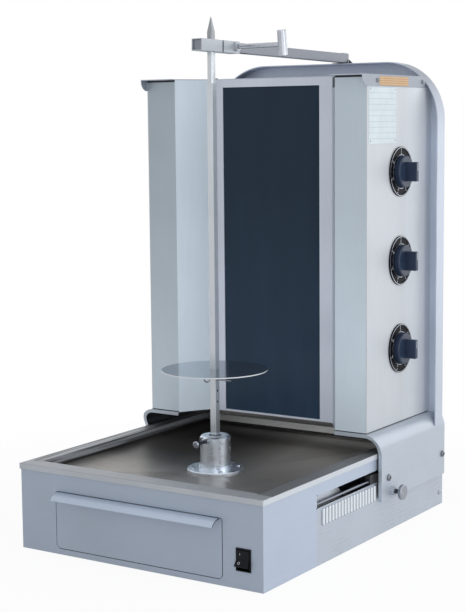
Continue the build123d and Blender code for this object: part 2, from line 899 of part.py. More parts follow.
def dial_rings():
    """Bezels with a raised bead at their edge."""
    face = tower_x + dial_t
    rings = []
    for z in knob_heights():
        ring = rod(dial_r, (tower_x, knob_y, z), (face, knob_y, z))
        ring -= rod(dial_r - dial_bead, (face - dial_t / 3, knob_y, z), (face + 1, knob_y, z))
        rings.append(ring - rod(bush_r, (tower_x - 1, knob_y, z), (face + 1, knob_y, z)))
    return group(rings)


def knob(z):
    """Round skirt with a fin to grip, on its spindle."""
    top = knob_face + skirt_t
    skirt = rod(skirt_r, (knob_face, knob_y, z), (top, knob_y, z))
    skirt = fillet(skirt.edges().sort_by(Axis.X)[-1], skirt_t / 4)
    fin = block(
        (top - 1, top + grip_reach), (knob_y - grip_t / 2, knob_y + grip_t / 2), (z - grip_l / 2, z + grip_l / 2)
    )
    fin = fillet(fin.edges().filter_by(Axis.X) + fin.faces().sort_by(Axis.X)[-1].edges(), grip_t / 5)
    return skirt + fin + rod(spindle_r, (tower_in - 10, knob_y, z), (top, knob_y, z))


def rating_plate():
    """Blank plate where the maker's data would be."""
    y = tower_front + plate_inset
    top = cap_top - cap_lip
    plate_h = top - plate_gap - dial_r - (knob_z + (zone_count - 1) * knob_pitch)
    return block((tower_x, tower_x + plate_t), (y, y + plate_w), (top - plate_h, top))


def caution_strip():
    """Blank coloured strip on the cap's side."""
    y = tower_front + strip_inset
    top = cap_top - 2 * tower_sheet
    return block((cap_x, cap_x + plate_t), (y, y + strip_w), (top - strip_h, top))


def cover_outline(inset, y):
    """Upright plate shape with two round upper corners."""
    plate = block((inset - cover_left, cover_x - inset), y, (carriage_top - cover_skirt, cover_top - inset))
    left = plate.edges().filter_by(Axis.Y).group_by(Axis.Z)[-1].sort_by(Axis.X)[:1]
    plate = fillet(left, cover_left_radius - inset)
    right = plate.edges().filter_by(Axis.Y).group_by(Axis.Z)[-1].sort_by(Axis.X)[-1:]
    return fillet(right, cover_radius - inset)


def back_cover():
    """Shallow tray with its rim bent forward, scribed over the carriage."""
    cover = cover_outline(0, (cover_front, tower_back + cover_sheet))
    cover -= cover_outline(cover_sheet, (cover_front - 1, tower_back))
    shoe = block((-carriage_x, carriage_x), (0, rear), (0, carriage_top))
    shoulders = shoe.edges().filter_by(Axis.Y).group_by(Axis.Z)[-1]
    return cover - fillet(shoulders, carriage_radius)


def arm_place():
    return Pos(pivot_x, pivot_y, arm_z) * Rot(Z=-arm_yaw) * Rot(X=-arm_tilt)


def arm_bracket():
    """Foot on the back cover's rim with the pivot pin and a gusset."""
    right = pivot_x + arm_w / 2 + 2 * arm_foot_gap + gusset_w
    top = cover_top + arm_foot_t
    pin_top = arm_z + arm_h / 2 + arm_foot_gap
    foot = block((pivot_x - arm_w / 2 - gusset_w, right), (pivot_y - pivot_inset, pivot_y + pivot_inset),
                 (cover_top, top))
    foot += rod(pin_r, (pivot_x, pivot_y, cover_top), (pivot_x, pivot_y, pin_top))
    web = Polyline((right, top), (right - gusset_w, top), (right - gusset_w, top + gusset_h), close=True)
    gusset = extrude(Plane(origin=(0, pivot_y, 0), x_dir=(1, 0, 0), z_dir=(0, -1, 0)) * make_face(web),
                     arm_foot_t / 2, both=True)
    return foot + gusset


def arm_cap_nut():
    """Low round nut on top of the pivot pin."""
    low = arm_z + arm_h / 2 + arm_foot_gap
    nut = rod(nut_r, (pivot_x, pivot_y, low), (pivot_x, pivot_y, low + nut_h))
    return fillet(nut.edges().sort_by(Axis.Z)[-1], nut_h / 3)


def arm_bar():
    """Rectangular bar with a long slot for the spit's neck."""
    low = -arm_run - arm_tip
    bar = block((-arm_w / 2, arm_w / 2), (low, arm_tail), (-arm_h / 2, arm_h / 2))
    tail = bar.faces().sort_by(Axis.Y)[-1].edges().filter_by(Axis.Z)
    bar = fillet(tail, arm_tail_r)
    bar -= block((-arm_slot_w / 2, arm_slot_w / 2), (-arm_run - arm_slot_front, -arm_run + arm_slot_rear),
                 (-arm_h, arm_h))
    return arm_place() * (bar - rod(pin_r + pin_gap, (0, 0, -arm_h), (0, 0, arm_h)))


def arm_head():
    """Two sleeves on a common sole that slide along the bar."""
    head = block((-head_x, head_x), (-head_front, head_rear), (-head_z, head_z))
    head += block((-head_x, head_x), (collar_front, collar_rear), (-head_z, head_z))
    head += block((-arm_w / 2, arm_w / 2), (-head_front, collar_rear), (-head_z, -sleeve_in_z))
    head += rod(tee_ring_r, (head_x, tee_u, tee_rise), (head_x + tee_ring_t, tee_u, tee_rise))
    head -= block((-sleeve_in_x, sleeve_in_x), (-head_front - 1, collar_rear + 1), (-sleeve_in_z, sleeve_in_z))
    head -= rod(tee_rod_r + running, (0, tee_u, tee_rise), (tee_reach, tee_u, tee_rise))
    head -= rod(arm_slot_w / 2, (0, 0, -2 * head_z), (0, 0, 2 * head_z))
    return arm_place() * Pos(0, -arm_run, 0) * head


def tee_handle():
    """Clamp screw with a round cross grip."""
    screw = rod(tee_rod_r, (sleeve_in_x, 0, 0), (tee_reach, 0, 0))
    half = tee_grip_h / 2
    grip = rod(tee_grip_r, (tee_reach, 0, tee_grip_lift - half), (tee_reach, 0, tee_grip_lift + half))
    grip = Rot(X=tee_lean) * fillet(grip.edges(), tee_grip_r / 4)
    return arm_place() * Pos(0, tee_u - arm_run, tee_rise) * (screw + grip)


def write(name, shape):
    export_step(shape, f"parts/{name}.step")


def write_base():
    write("base_plate", base_plate())
    write("front_shell", front_shell())
    write("side_cover_right", side_cover())
    write("side_cover_left", left(side_cover()))
    write("rear_panel", rear_panel())
    write("drip_pan", drip_pan())
    write("hub_flange", hub_flange())
    write("flange_screws", flange_screws())
    write("gear_motor", gear_motor())
    write("motor_bracket", motor_bracket())
    write("drawer_runners", drawer_runners())
    write("guide_rods", guide_rods())
    write("rod_brackets", rod_brackets())
    write("slot_shields", slot_shields())
    write("switch_housing", switch_housing())
    write("cable_gland", cable_gland())
    write("terminal_block", terminal_block())
    write("base_screws", base_screws())
    write("drawer_front", drawer_front())
    write("drawer_tray", drawer_tray())
    write("rocker", rocker())


def write_spit():
    write("hub", hub())
    write("drive_shaft", drive_shaft())
    write("hub_grub_screw", hub_grub_screw())
    write("hub_thumb_screw", hub_thumb_screw())
    write("spit", spit())
    write("kebab_disc", kebab_disc())
    write("disc_clip", disc_clip())


def write_tower():
    write("carriage_side_right", carriage_side())
    write("carriage_side_left", left(carriage_side()))
    write("carriage_beam", carriage_beam())
    write("slide_blocks", slide_blocks())
    write("carriage_bolts", carriage_bolts())
    write("clamp_knob_right", clamp_knob())
    write("clamp_knob_left", left(clamp_knob()))
    write("tower_floor", tower_floor())
    write("column_shell_right", column_shell())
    write("column_shell_left", left(column_shell()))
    write("control_panel", control_panel())
    write("side_panel_left", left(side_panel()) - rim_room())
    write("top_cap", top_cap())
    write("cap_screws", cap_screws())
    write("glass_frame", glass_frame())
    write("heater_glass", heater_glass())
    write("heater_tray", heater_tray())
    write("insulation_boards", insulation_boards())
    write("heating_elements", heating_elements())
    write("regulators", regulators())
    write("dial_rings", dial_rings())
    write("rating_plate", rating_plate())
    write("caution_strip", caution_strip())
    write("back_cover", back_cover())
    for i, z in enumerate(knob_heights()):
        write(f"knob_{i + 1}", knob(z))


def write_arm():
    write("arm_bracket", arm_bracket())
    write("arm_cap_nut", arm_cap_nut())
    write("arm_bar", arm_bar())
    write("arm_head", arm_head())
    write("tee_handle", tee_handle())


if __name__ == "__main__":
    os.makedirs("parts", exist_ok=True)
    write_base()
    write_spit()
    write_tower()
    write_arm()
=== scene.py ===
"""Looks, detail pieces, light and camera of the doner kebab grill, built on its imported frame."""
import math

import bmesh
import bpy
from mathutils import Matrix, Vector


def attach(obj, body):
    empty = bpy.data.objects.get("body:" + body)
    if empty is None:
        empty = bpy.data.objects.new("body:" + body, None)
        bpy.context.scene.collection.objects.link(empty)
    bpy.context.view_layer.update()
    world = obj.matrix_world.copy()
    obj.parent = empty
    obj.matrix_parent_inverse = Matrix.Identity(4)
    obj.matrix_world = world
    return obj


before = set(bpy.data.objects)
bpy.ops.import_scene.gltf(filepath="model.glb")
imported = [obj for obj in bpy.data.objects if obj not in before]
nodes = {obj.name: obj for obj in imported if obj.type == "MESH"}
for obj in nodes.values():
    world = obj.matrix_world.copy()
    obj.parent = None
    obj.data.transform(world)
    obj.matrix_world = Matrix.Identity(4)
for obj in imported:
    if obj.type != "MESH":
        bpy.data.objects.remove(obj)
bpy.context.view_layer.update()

# ---- places on the solids, in millimetres ----

MM = 0.001

# Base: its outer faces, its screws, the drip pan's levels, the edges of the pan's well, the
# painted shade on the shields behind the slots, and the ribs.
SIDE, REAR = 250, 330
BASE_SCREW_IN, BASE_SCREW_Z = 14, 24
PAN_FLOOR, PAN_DECK = 133.8, 152
PAN_FRONT, PAN_REAR, PAN_SIDE = -305, 215, 222
SHIELD_SHADE_START, SHIELD_SHADE_END = -100, -54
RIB_FOOT, RIB_CREST = SIDE + 0.6, SIDE + 2.6

# Hub and spit: the flange's screws, the spit's cross holes and the thumb screw's thread.
HUB_Y, FLANGE_TOP, FLANGE_SCREW = -90, 126, 29.7
CLIP_HOLES, CLIP_HOLE_R = (286.3, 266.3, 246.3), 2.15
THUMB_THREAD_Y, THUMB_Z = (-121.9, -148.3), 178.5

# Carriage: its outer faces, the bend between them, the clamp screws' threads and the bolts.
CARRIAGE_X, CARRIAGE_TOP, BEND, BEND_INSIDE = 261, 187, 27, 26
CLAMP_THREAD_X, CLAMP_Y, CLAMP_Z = (268.4, 278.8), 93, 77
BOLTS_Y, BOLT_Z = (79, 304), 104.3

# Tower: its faces, the splayed wings, the cap, the blank plate and the dials.
TOWER_X, TOWER_FRONT, TOWER_REAR = 235.8, 42, 290
WING_X, WING_W, WING_LOOK = 172, 58, (-0.836, -0.548, 0)
CAP_X, CAP_TOP, CAP_LIP = 237.3, 823, 21
ROOF_SCREWS, LIP_SCREWS_Y = ((128, 116), (195.8, 258)), (78, 257)
PLATE_FACE, RIVETS_Y, RIVETS_Z = 236.2, (54, 148), (707, 797)
KNOB_Y, KNOBS = 171, {"low": 326, "middle": 488, "high": 650}
DIAL_FACE, DIAL_RIM, FIN_FACE = 237.8, 238.8, 271.1


def at(x, y, z):
    """A point that is given in millimetres."""
    return Vector((x, y, z)) * MM


def tone(red, green, blue):
    """A colour as the screen shows it, 0 to 255, as Blender's linear colour."""
    def linear(v):
        v /= 255
        return v / 12.92 if v <= 0.04045 else ((v + 0.055) / 1.055) ** 2.4
    return (linear(red), linear(green), linear(blue), 1.0)


def shade(colour, factor):
    return (*(min(1.0, c * factor) for c in colour[:3]), 1.0)


# ---- node patterns ----

WHITE = (1.0, 1.0, 1.0, 1.0)
NOISE_RANGE = (0.3, 0.7)
MIX_A, MIX_B, MIX_RESULT = 6, 7, 2      # the colour sockets of Blender's mix node


class Nodes:
    """A node tree, with the few patterns that the finishes and the studio share."""

    def __init__(self, tree):
        self.tree = tree
        tree.nodes.clear()

    def add(self, kind, **values):
        node = self.tree.nodes.new(kind)
        for key, value in values.items():
            setattr(node, key, value)
        return node

    def link(self, start, end):
        self.tree.links.new(start, end)

    def feed(self, socket, value):
        """Sets a socket to a number or a colour, or links another node's output to it."""
        if isinstance(value, bpy.types.NodeSocket):
            self.link(value, socket)
        else:
            socket.default_value = value

    def calc(self, operation, *values):
        """One of the math node's operations on numbers and other nodes' outputs."""
        node = self.add("ShaderNodeMath", operation=operation)
        for socket, value in zip(node.inputs, values):
            self.feed(socket, value)
        return node.outputs["Value"]

    def product(self, one, two):
        return self.calc("MULTIPLY", one, two)

    def ramp(self, value, start, end, low=0.0, high=1.0):
        """The value from start to end, mapped to low to high and held beyond."""
        node = self.add("ShaderNodeMapRange")
        limits = {"From Min": start, "From Max": end, "To Min": low, "To Max": high}
        for socket, number in limits.items():
            node.inputs[socket].default_value = number
        self.link(value, node.inputs["Value"])
        return node.outputs["Result"]

    def tuned(self, noise, low=0.0, high=1.0):
        """Noise, most of which lies in the middle of its range, mapped to low to high."""
        return self.ramp(noise, *NOISE_RANGE, low, high)

    def mix(self, factor, one, two, blend="MIX"):
        """A colour between two, each a colour or another node's output."""
        node = self.add("ShaderNodeMix", data_type="RGBA", blend_type=blend)
        self.feed(node.inputs["Factor"], factor)
        self.feed(node.inputs[MIX_A], one)
        self.feed(node.inputs[MIX_B], two)
        return node.outputs[MIX_RESULT]

    def parts(self, vector):
        node = self.add("ShaderNodeSeparateXYZ")
        self.link(vector, node.inputs["Vector"])
        return node.outputs

    def glow(self, kind, colour, strength):
        """A background or an emission of one colour."""
        node = self.add(kind)
        node.inputs["Color"].default_value = colour
        node.inputs["Strength"].default_value = strength
        return node

    def blend(self, factor, one, two):
        """A shader between two others."""
        node = self.add("ShaderNodeMixShader")
        for socket, value in zip(node.inputs, (factor, one.outputs[0], two.outputs[0])):
            self.link(value, socket)
        return node.outputs[0]

    def seen_ray(self):
        """1 for rays that show the surroundings to the camera or in metal and glass, else 0."""
        path = self.add("ShaderNodeLightPath").outputs
        seen = self.calc("MAXIMUM", path["Is Camera Ray"], path["Is Glossy Ray"])
        return self.calc("MAXIMUM", seen, path["Is Transmission Ray"])


class Surface(Nodes):
    """A material with its main shader, and the ways in which the finishes below change it."""

    def __init__(self, name, metallic=0.0, specular=0.5):
        self.material = bpy.data.materials.new(name)
        self.material.use_nodes = True
        super().__init__(self.material.node_tree)
        self.shader = self.add("ShaderNodeBsdfPrincipled")
        self.out = self.add("ShaderNodeOutputMaterial")
        self.link(self.shader.outputs["BSDF"], self.out.inputs["Surface"])
        self.shader.inputs["Metallic"].default_value = metallic
        self.shader.inputs["Specular IOR Level"].default_value = specular
        source = self.add("ShaderNodeTexCoord").outputs
        self.place = source["Object"]
        self.spot = self.parts(source["Object"])
        self.turn = self.parts(source["Normal"])

    def drive(self, socket, value):
        """Lets a pattern drive one of the shader's sockets."""
        self.link(value, self.shader.inputs[socket])

    def noise(self, scale, detail=3.0):
        """Noise between 0 and 1 whose scale is per metre along X, Y and Z."""
        stretch = self.add("ShaderNodeMapping")
        stretch.inputs["Scale"].default_value = scale
        self.link(self.place, stretch.inputs["Vector"])
        noise = self.add("ShaderNodeTexNoise")
        noise.inputs["Scale"].default_value = 1.0
        noise.inputs["Detail"].default_value = detail
        noise.inputs["Roughness"].default_value = 0.55
        self.link(stretch.outputs["Vector"], noise.inputs["Vector"])
        return noise.outputs["Fac"]

    def relief(self, height, strength, distance, round_edge=0.0):
        """Bump from a height, over edges that are rounded by a small radius."""
        bump = self.add("ShaderNodeBump")
        bump.inputs["Strength"].default_value = strength
        bump.inputs["Distance"].default_value = distance
        self.link(height, bump.inputs["Height"])
        if round_edge:
            edge = self.add("ShaderNodeBevel", samples=4)
            edge.inputs["Radius"].default_value = round_edge
            self.link(edge.outputs["Normal"], bump.inputs["Normal"])
        self.drive("Normal", bump.outputs["Normal"])

    def rise(self, axis, start, end):
        """0 to 1 along an axis, from start to end in millimetres."""
        return self.ramp(self.spot[axis], start * MM, end * MM)

    def beyond(self, axis, limit):
        """1 where the place along an axis lies above a limit in millimetres, else 0."""
        return self.calc("GREATER_THAN", self.spot[axis], limit * MM)

    def offset(self, value, centre):
        """How far a place lies above a level that is given in millimetres."""
        return self.calc("SUBTRACT", value, centre * MM)

    def repaint(self, share, colour, blend="MIX"):
        """Blends another colour over the finish, by the share that a pattern gives it."""
        so_far = self.shader.inputs["Base Color"].links[0].from_socket
        self.drive("Base Color", self.mix(share, so_far, colour, blend))
        return self

    def shaded(self, factor, along=None, facing=None):
        """Paints light or shade by multiplying the colour by a factor, and returns the surface.

        With along, an axis with a start and an end in millimetres, it grows from start to end.
        With facing, an axis with a limit, only the faces change that look far enough along it.
        """
        share = self.rise(*along) if along else None
        if facing:
            axis, limit = facing
            looks = "LESS_THAN" if limit < 0 else "GREATER_THAN"
            chosen = self.calc(looks, self.turn[axis], limit)
            share = self.product(share, chosen) if along else chosen
        change = self.mix(share, WHITE, (factor, factor, factor, 1.0))
        return self.repaint(1.0, change, "MULTIPLY")


# ---- finishes ----

UP, LEVEL = (1500, 1500, 9), (9, 9, 1500)               # scales of the brushed lines
ALONG_X, ALONG_Y = (9, 1500, 1500), (1500, 9, 1500)
LINE_DEPTH, EDGE = 0.00008, 0.0005
LINE_POLISH = (0.86, 1.14)


def steel(name, colour, rough, grain, metal=0.75, blotch=0.04, streak=0.05, bump=0.12):
    """Brushed sheet: fine lines along the grain, soft cloudy stains and an uneven polish."""
    s = Surface(name, metallic=metal)
    lines = s.noise(grain, detail=4.0)
    clouds = s.noise((7, 7, 7))
    stain = s.tuned(clouds)
    plain = s.mix(stain, shade(colour, 1 - blotch), shade(colour, 1 + blotch))
    brushed = s.mix(stain, shade(colour, 1 - blotch - streak), shade(colour, 1 + blotch - streak))
    s.drive("Base Color", s.mix(s.tuned(lines), plain, brushed))
    polish = s.tuned(clouds, rough * 0.9, rough * 1.12)
    s.drive("Roughness", s.product(s.tuned(lines, *LINE_POLISH), polish))
    s.relief(lines, bump, LINE_DEPTH, EDGE)
    return s


def bored(s, levels, radius, painted_shade):
    """Paints shade inside the spit's cross holes."""
    aside = s.offset(s.spot["Y"], HUB_Y)
    aside = s.product(aside, aside)
    inside = 0.0
    for level in levels:
        off = s.offset(s.spot["Z"], level)
        reach = s.calc("ADD", aside, s.product(off, off))
        inside = s.calc("MAXIMUM", inside, s.calc("LESS_THAN", reach, (radius * MM) ** 2))
    return s.repaint(inside, painted_shade)


def folded(s, painted_shade):
    """Paints shade on the inner side of the carriage's bent sheet."""
    across = s.offset(s.calc("ABSOLUTE", s.spot["X"]), CARRIAGE_X - BEND)
    above = s.offset(s.spot["Z"], CARRIAGE_TOP - BEND)
    across, above = (s.calc("MAXIMUM", reach, 0.0) for reach in (across, above))
    depth = s.calc("ADD", s.product(across, across), s.product(above, above))
    inner = s.calc("LESS_THAN", s.calc("SQRT", depth), BEND_INSIDE * MM)
    level = s.calc("LESS_THAN", s.calc("ABSOLUTE", s.turn["Y"]), 0.5)
    return s.repaint(s.product(inner, level), painted_shade)


def ribbed(s, valley_shade, crest):
    """Pressed ribs of a side sheet, with painted shade in their valleys and a painted highlight on
    their crests.
    """
    out = s.calc("ABSOLUTE", s.spot["X"])
    height = s.ramp(out, RIB_FOOT * MM, RIB_CREST * MM)
    rib = s.calc("GREATER_THAN", out, (SIDE + 0.1) * MM)
    return s.repaint(rib, s.mix(height, valley_shade, crest))


def cut_disc(s, edge):
    """Paints a bright highlight on a polished round plate's edge, which is also less metallic."""
    rim = s.calc("LESS_THAN", s.calc("ABSOLUTE", s.turn["Z"]), 0.7)
    s.drive("Metallic", s.calc("SUBTRACT", 0.95, s.product(rim, 0.85)))
    return s.repaint(rim, edge)


def pan(name, clean, stained, rough):
    """Pressed pan: clean deck and walls with painted light and shade on them, a painted shade line
    in the fold at their foot, and a browned floor with painted reflections.
    """
    s = Surface(name)
    lines = s.noise(ALONG_X, detail=4.0)
    clouds = s.tuned(s.noise((16, 16, 16)))
    behind_lip = s.beyond("Y", PAN_FRONT)

    # Painted reflections: the floor is dark at its left rear, from the hub on, and pale at its
    # right rear.
    right = s.rise("X", -60, 60)
    left = s.calc("SUBTRACT", 1.0, right)
    floor = s.mix(clouds, shade(stained, 0.82), shade(stained, 1.12))
    floor = s.mix(s.product(right, s.rise("Y", -120, 100)), floor, shade(stained, 2.4))
    floor = s.mix(s.product(left, s.rise("Y", -170, -90)), floor, shade(stained, 0.3))

    # A strip of light and dark streaks runs along the left wall and deck.
    at_left = s.calc("LESS_THAN", s.spot["X"], (6 - PAN_SIDE) * MM)
    strip = s.product(at_left, behind_lip)
    streaks = s.ramp(s.noise((260, 5, 260), detail=2.0), 0.42, 0.58)
    rubbed = s.mix(streaks, shade(clean, 0.4), shade(clean, 1.25))

    # Painted shade: the deck is darker on the right, and a painted shadow darkens it at the rear,
    # under the tower.
    deck = s.mix(clouds, shade(clean, 0.96), shade(clean, 1.04))
    deck = s.mix(s.product(s.beyond("X", PAN_SIDE), behind_lip), deck, shade(clean, 0.5))
    deck = s.mix(s.beyond("Y", PAN_REAR + 3), deck, shade(stained, 0.32))
    deck = s.mix(strip, deck, rubbed)

    # Painted light: the walls are brighter than the deck, most at the rear and on the lip over the
    # base's right side.
    walls = s.mix(clouds, shade(clean, 1.2), shade(clean, 1.3))
    walls = s.mix(s.beyond("Y", PAN_REAR - 2), walls, shade(clean, 2.9))
    walls = s.mix(s.beyond("X", SIDE + 0.5), walls, shade(clean, 1.75))
    walls = s.mix(strip, walls, rubbed)
    # Painted shade: a dark band runs along the fold at the walls' foot.
    over_fold = s.rise("Z", PAN_FLOOR + 5, PAN_FLOOR + 6)
    walls = s.mix(over_fold, shade(stained, 0.12), walls)

    off_floor = s.rise("Z", PAN_FLOOR, PAN_FLOOR + 1)
    on_deck = s.rise("Z", PAN_DECK - 1, PAN_DECK - 0.4)
    s.drive("Base Color", s.mix(on_deck, s.mix(off_floor, floor, walls), deck))
    s.drive("Metallic", s.calc("SUBTRACT", 0.62, s.product(off_floor, 0.2)))
    polish = s.ramp(off_floor, 0.0, 1.0, rough, rough * 1.4)
    s.drive("Roughness", s.product(s.tuned(lines, *LINE_POLISH), polish))
    s.relief(lines, 0.2, LINE_DEPTH, 0.0008)
    return s


def plastic(name, colour, rough, worn, specular=0.5, grit=900.0, bump=0.2):
    """Moulded plastic: a fine pebbled skin with paler rubbed patches."""
    s = Surface(name, specular=specular)
    skin = s.noise((grit, grit, grit), detail=2.0)
    rubbed = s.noise((40, 40, 40), detail=4.0)
    s.drive("Base Color", s.mix(s.ramp(rubbed, 0.42, 0.72), colour, worn))
    s.drive("Roughness", s.tuned(rubbed, rough * 0.88, rough * 1.15))
    s.relief(skin, bump, 0.00006, EDGE)
    return s


def plated(name, colour, rough):
    """Turned and plated metal with faint polishing rings and stains."""
    s = Surface(name, metallic=1.0)
    stains = s.noise((60, 60, 60), detail=4.0)
    lines = s.noise((400, 400, 2500), detail=2.0)
    s.drive("Base Color", s.mix(s.tuned(stains), shade(colour, 0.9), shade(colour, 1.06)))
    s.drive("Roughness", s.tuned(stains, rough * 0.8, rough * 1.3))
    s.relief(lines, 0.06, 0.00004, 0.0004)
    return s


def glass(name, colour, rough):
    """Dark ceramic glass with faint wiping marks."""
    s = Surface(name, specular=0.1)
    wipes = s.noise((30, 30, 6), detail=5.0)
    s.drive("Base Color", s.mix(s.tuned(wipes), colour, shade(colour, 1.12)))
    s.drive("Roughness", s.tuned(wipes, rough, rough * 2.2))
    s.relief(wipes, 0.02, 0.0001)
    return s


def printed(name, colour, ink, rough, lines_per_metre, line_share):
    """A blank printed label with ruled lines along Y."""
    s = Surface(name, specular=0.4)
    saw = s.calc("FRACT", s.product(s.spot["Z"], lines_per_metre))
    age = s.noise((50, 50, 50))
    paper = s.mix(s.tuned(age), colour, shade(colour, 0.93))
    s.drive("Base Color", s.mix(s.calc("LESS_THAN", saw, line_share), paper, ink))
    s.drive("Roughness", s.tuned(age, rough * 0.9, rough * 1.2))
    s.relief(age, 0.05, 0.00005)
    return s


front_steel = steel("front_steel", tone(163, 174, 190), 0.4, LEVEL, 0.3)
# Painted light: faces that look to the right are brighter.
front_steel.shaded(1.28, facing=("X", 0.5))
drawer_steel = steel("drawer_steel", tone(163, 174, 190), 0.4, LEVEL, 0.3)
# Painted shade, almost black, on faces that look to the right, and a painted highlight on faces
# that look up, such as the lip's top.
drawer_steel.shaded(0.08, facing=("X", 0.7)).shaded(1.3, facing=("Z", 0.25))
# Painted shade in the ribs' valleys and painted highlight on their crests.
side_steel = ribbed(steel("side_steel", tone(181, 190, 202), 0.3, LEVEL, 0.6),
                    valley_shade=tone(132, 139, 149), crest=tone(220, 227, 234))
column_steel = steel("column_steel", tone(188, 200, 210), 0.4, UP, 0.35)
# Painted light and shade: brighter towards the bottom, and front faces darker towards the left.
column_steel.shaded(1.45, ("Z", 600, 200)).shaded(0.78, ("X", 0, -180), ("Y", -0.9))
frame_steel = steel("frame_steel", tone(204, 210, 222), 0.4, UP, 0.35)
# Painted light: brighter towards the bottom.
frame_steel.shaded(1.28, ("Z", 550, 200))
panel_steel = steel("panel_steel", tone(197, 202, 208), 0.5, UP, 0.25)
# Painted light: brighter towards the rear, near the back cover.
panel_steel.shaded(1.28, ("Y", 180, 270))
cover_steel = steel("cover_steel", tone(190, 198, 212), 0.42, UP, 0.3)
# Painted shade on faces that look to the right, darker towards the top, and painted light on front
# faces, brighter towards the bottom.
cover_steel.shaded(0.62, ("Z", 720, 830), ("X", 0.3)).shaded(1.36, ("Z", 800, 700), ("Y", -0.9))
cap_steel = steel("cap_steel", tone(190, 198, 212), 0.42, UP, 0.3)
# Painted shade: faces that look to the right are darker towards the top.
cap_steel.shaded(0.58, ("Z", 750, 800), ("X", 0.7))
# Painted shade on the inner side of the bent sheet.
carriage_steel = folded(steel("carriage_steel", tone(184, 193, 204), 0.42, LEVEL, 0.3),
                        painted_shade=tone(46, 50, 57))
shield_steel = steel("shield_steel", tone(194, 201, 211), 0.35, LEVEL, 0.4)
# Painted shade: the shields darken towards the rear, deep in the slots.
shield_steel.repaint(shield_steel.rise("Y", SHIELD_SHADE_START, SHIELD_SHADE_END), tone(30, 33, 40))
pan_steel = pan("pan_steel", tone(158, 162, 168), tone(140, 137, 134), 0.34)
inner_steel = steel("inner_steel", tone(150, 152, 152), 0.42, ALONG_X, blotch=0.1)
# A dark tone that stands in for the shade under the tower, on the carriage beam and the tower's
# floor.
underside_shade_steel = steel("underside_shade_steel", tone(52, 54, 58), 0.5, ALONG_X, blotch=0.1)
spit_steel = steel("spit_steel", tone(198, 204, 210), 0.3, UP, blotch=0.08, streak=0.1)
# Painted shade: the spit darkens towards its top, where it runs into the arm head, and inside its
# cross holes.
bored(spit_steel.shaded(0.5, ("Z", 855, 875)), CLIP_HOLES, CLIP_HOLE_R, tone(22, 23, 26))
# Painted highlight on the disc's edge.
disc_steel = cut_disc(steel("disc_steel", tone(150, 160, 172), 0.13, ALONG_X, 0.95, blotch=0.06,
                            bump=0.05), edge=tone(222, 227, 232))
arm_steel = steel("arm_steel", tone(134, 138, 147), 0.36, ALONG_Y, 0.5)
head_steel = steel("head_steel", tone(182, 187, 194), 0.34, ALONG_Y, 0.4)
bright_chrome = plated("bright_chrome", tone(216, 224, 234), 0.29)
dull_chrome = plated("dull_chrome", tone(150, 155, 164), 0.26)
thread_steel = plated("thread_steel", tone(72, 76, 84), 0.3)
screw_zinc = plated("screw_zinc", tone(176, 180, 188), 0.24)
# A darker copy of the screw zinc: painted shade on the carriage bolts and cap screws.
shaded_zinc = plated("shaded_zinc", tone(118, 122, 130), 0.2)
rod_chrome = plated("rod_chrome", tone(116, 122, 132), 0.2)
black_paint = plastic("black_paint", tone(30, 34, 42), 0.4, tone(40, 45, 54))
black_knob = plastic("black_knob", tone(36, 50, 72), 0.36, tone(46, 60, 84), specular=0.3)
black_switch = plastic("black_switch", tone(7, 10, 15), 0.3, tone(11, 15, 22), specular=0.15,
                       grit=1500.0, bump=0.05)
gland_plastic = plastic("gland_plastic", tone(34, 34, 37), 0.5, tone(46, 46, 50))
block_plastic = plastic("block_plastic", tone(48, 48, 51), 0.5, tone(60, 60, 64))
white_plastic = plastic("white_plastic", tone(224, 223, 218), 0.45, tone(210, 208, 200))
white_board = plastic("white_board", tone(222, 218, 208), 0.9, tone(196, 188, 172), specular=0.1,
                      grit=500.0, bump=0.8)
quartz = plastic("quartz", tone(214, 208, 200), 0.18, tone(232, 228, 222), grit=300.0, bump=0.1)
motor_paint = plastic("motor_paint", tone(86, 90, 98), 0.5, tone(104, 108, 114), grit=600.0)
regulator_body = plastic("regulator_body", tone(54, 54, 58), 0.5, tone(66, 66, 70))
# Painted light: the glass is brighter towards the bottom.
dark_glass = glass("dark_glass", tone(37, 51, 67), 0.12).shaded(1.8, ("Z", 620, 200))
dial_black = plastic("dial_black", tone(6, 9, 15), 0.4, tone(10, 14, 21), specular=0.06)
label_white = printed("label_white", tone(212, 223, 229), tone(186, 199, 210), 0.4, 100.0, 0.12)
label_amber = printed("label_amber", tone(206, 174, 134), tone(176, 130, 82), 0.45, 260.0, 0.3)
ink_white = plastic("ink_white", tone(226, 230, 236), 0.5, tone(206, 210, 218), grit=1200.0)
# Painted shade for the screw recesses and the tower's gaps.
recess_shade = plastic("recess_shade", tone(26, 27, 30), 0.6, tone(38, 39, 43), grit=1200.0)

